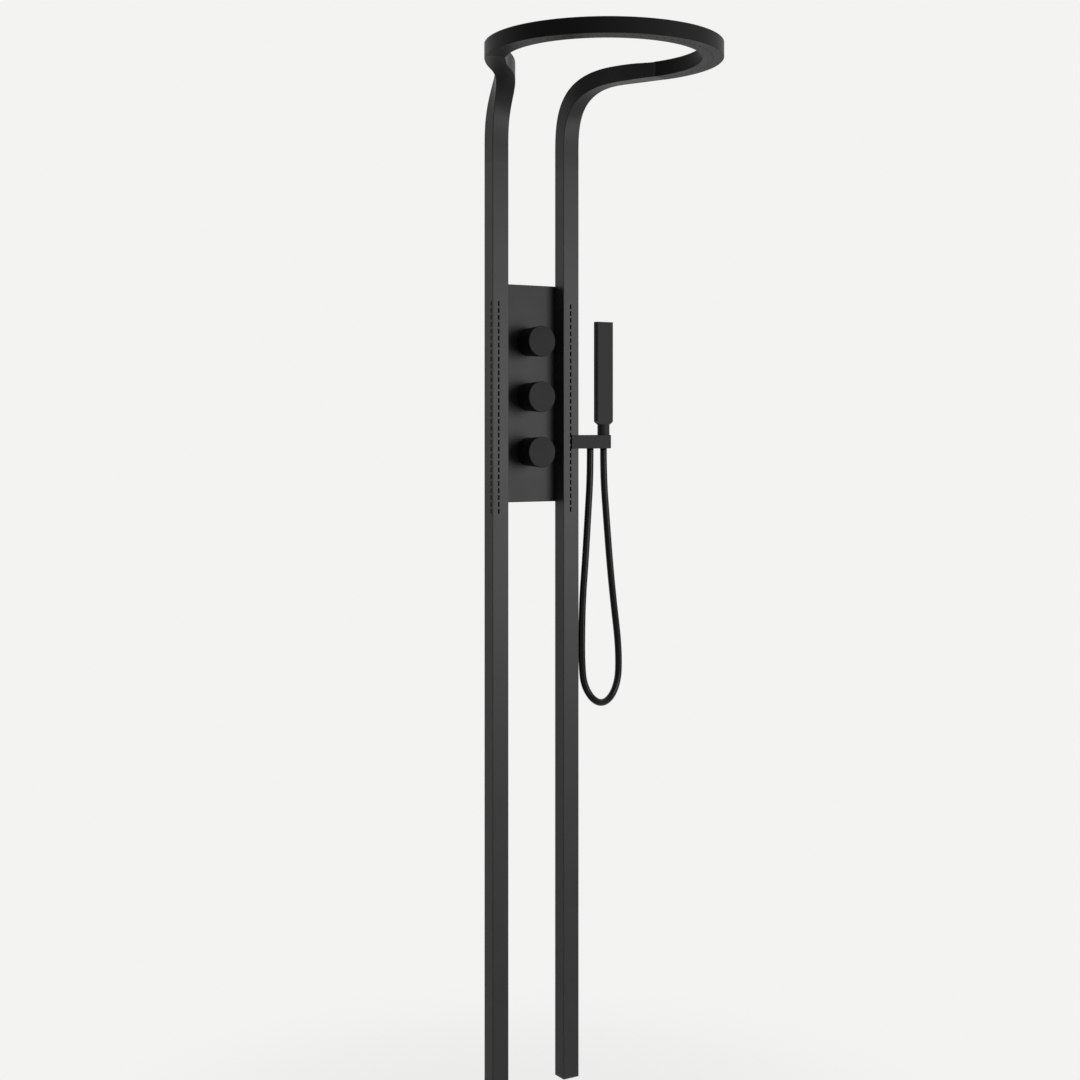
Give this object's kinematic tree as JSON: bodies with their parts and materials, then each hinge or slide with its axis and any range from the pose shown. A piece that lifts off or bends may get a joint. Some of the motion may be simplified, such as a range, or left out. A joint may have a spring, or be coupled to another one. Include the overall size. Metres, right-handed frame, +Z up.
{
  "type": "wall shower panel",
  "caption": "Wall shower panel: two hollow posts bend forward into an open overhead ring, with body jet slots, turning controls and a stick hand shower on a hose.",
  "frame": {"origin": "on the wall, behind the middle of the control cover", "axes": "+Z up, +Y into the wall, +X to the right as seen from the front"},
  "size_m": [0.445, 0.5353, 2.0136],
  "materials": {
    "black_coat": "matte, fine powder coat",
    "black_coat_smooth": "matte, smooth coat",
    "black_plastic": "matte",
    "black_rubber": "matte silicone",
    "hose_plastic": "smooth, soft gloss",
    "cast_brass": "as cast",
    "drawn_copper": "drawn tube",
    "chromed_brass": "polished",
    "grey_plastic": "matte",
    "bare_steel": "brushed"
  },
  "bodies": {
    "frame": {"bar_nipple": "cast_brass", "cartridge_nuts": "cast_brass", "cold_inlet": "chromed_brass", "control_cover": "black_coat_smooth", "cover_gasket": "black_rubber", "diverter_cartridge": "grey_plastic", "hand_shower_feed": "drawn_copper", "holder_bar": "black_coat", "hose": "hose_plastic", "hose_outlet_nut": "cast_brass", "hot_inlet": "chromed_brass", "left_arm": "black_coat", "left_arm_sleeve": "cast_brass", "left_end_cap": "black_plastic", "left_front_jet_strip": "black_rubber", "left_jet_duct": "grey_plastic", "left_jet_feed": "drawn_copper", "left_post": "black_coat", "left_ring_sleeve": "cast_brass", "left_riser": "drawn_copper", "left_side_jet_strip": "black_rubber", "left_tee_block": "cast_brass", "lower_left_spacer": "black_plastic", "lower_rail": "bare_steel", "lower_right_spacer": "black_plastic", "outlet_block": "cast_brass", "post_screws": "bare_steel", "right_arm": "black_coat", "right_arm_sleeve": "cast_brass", "right_end_cap": "black_plastic", "right_front_jet_strip": "black_rubber", "right_jet_duct": "grey_plastic", "right_jet_feed": "drawn_copper", "right_post": "black_coat", "right_ring_sleeve": "cast_brass", "right_riser": "drawn_copper", "right_side_jet_strip": "black_rubber", "right_tee_block": "cast_brass", "ring_nozzle_strip": "black_rubber", "ring_tube": "black_coat", "temperature_cartridge": "grey_plastic", "upper_left_spacer": "black_plastic", "upper_rail": "bare_steel", "upper_right_spacer": "black_plastic", "valve_body": "cast_brass", "volume_cartridge": "grey_plastic"},
    "temperature_control": {"temperature_knob": "black_coat_smooth", "temperature_spindle": "bare_steel", "temperature_grub_screw": "bare_steel"},
    "diverter_control": {"diverter_knob": "black_coat_smooth", "diverter_spindle": "bare_steel", "diverter_grub_screw": "bare_steel"},
    "volume_control": {"volume_knob": "black_coat_smooth", "volume_spindle": "bare_steel", "volume_grub_screw": "bare_steel"},
    "hose_end": {"hose_cone_nut": "chromed_brass"},
    "hand_shower": {"hand_shower_neck": "black_coat", "hand_shower_shell": "black_coat", "spray_plate": "black_rubber"}
  },
  "joints": [
    {"name": "temperature_turn", "type": "hinge", "parent": "frame", "child": "temperature_control", "pos_m": [0, -0.0246, 0.102], "axis": [0, -1, 0], "range_deg": [-120, 150]},
    {"name": "diverter_turn", "type": "hinge", "parent": "frame", "child": "diverter_control", "pos_m": [0, -0.0246, -0.007], "axis": [0, -1, 0], "range_deg": [-60, 60]},
    {"name": "volume_turn", "type": "hinge", "parent": "frame", "child": "volume_control", "pos_m": [0, -0.0246, -0.116], "axis": [0, -1, 0], "range_deg": [0, 90]},
    {"name": "hand_shower_lift", "type": "slide", "parent": "frame", "child": "hose_end", "axis": [0, 0, 1], "range_m": [0, 0.06]},
    {"name": "hand_shower_swivel", "type": "hinge", "parent": "hose_end", "child": "hand_shower", "pos_m": [0.168, -0.0405, -0.095], "axis": [0, 0, 1], "continuous": true}
  ]
}
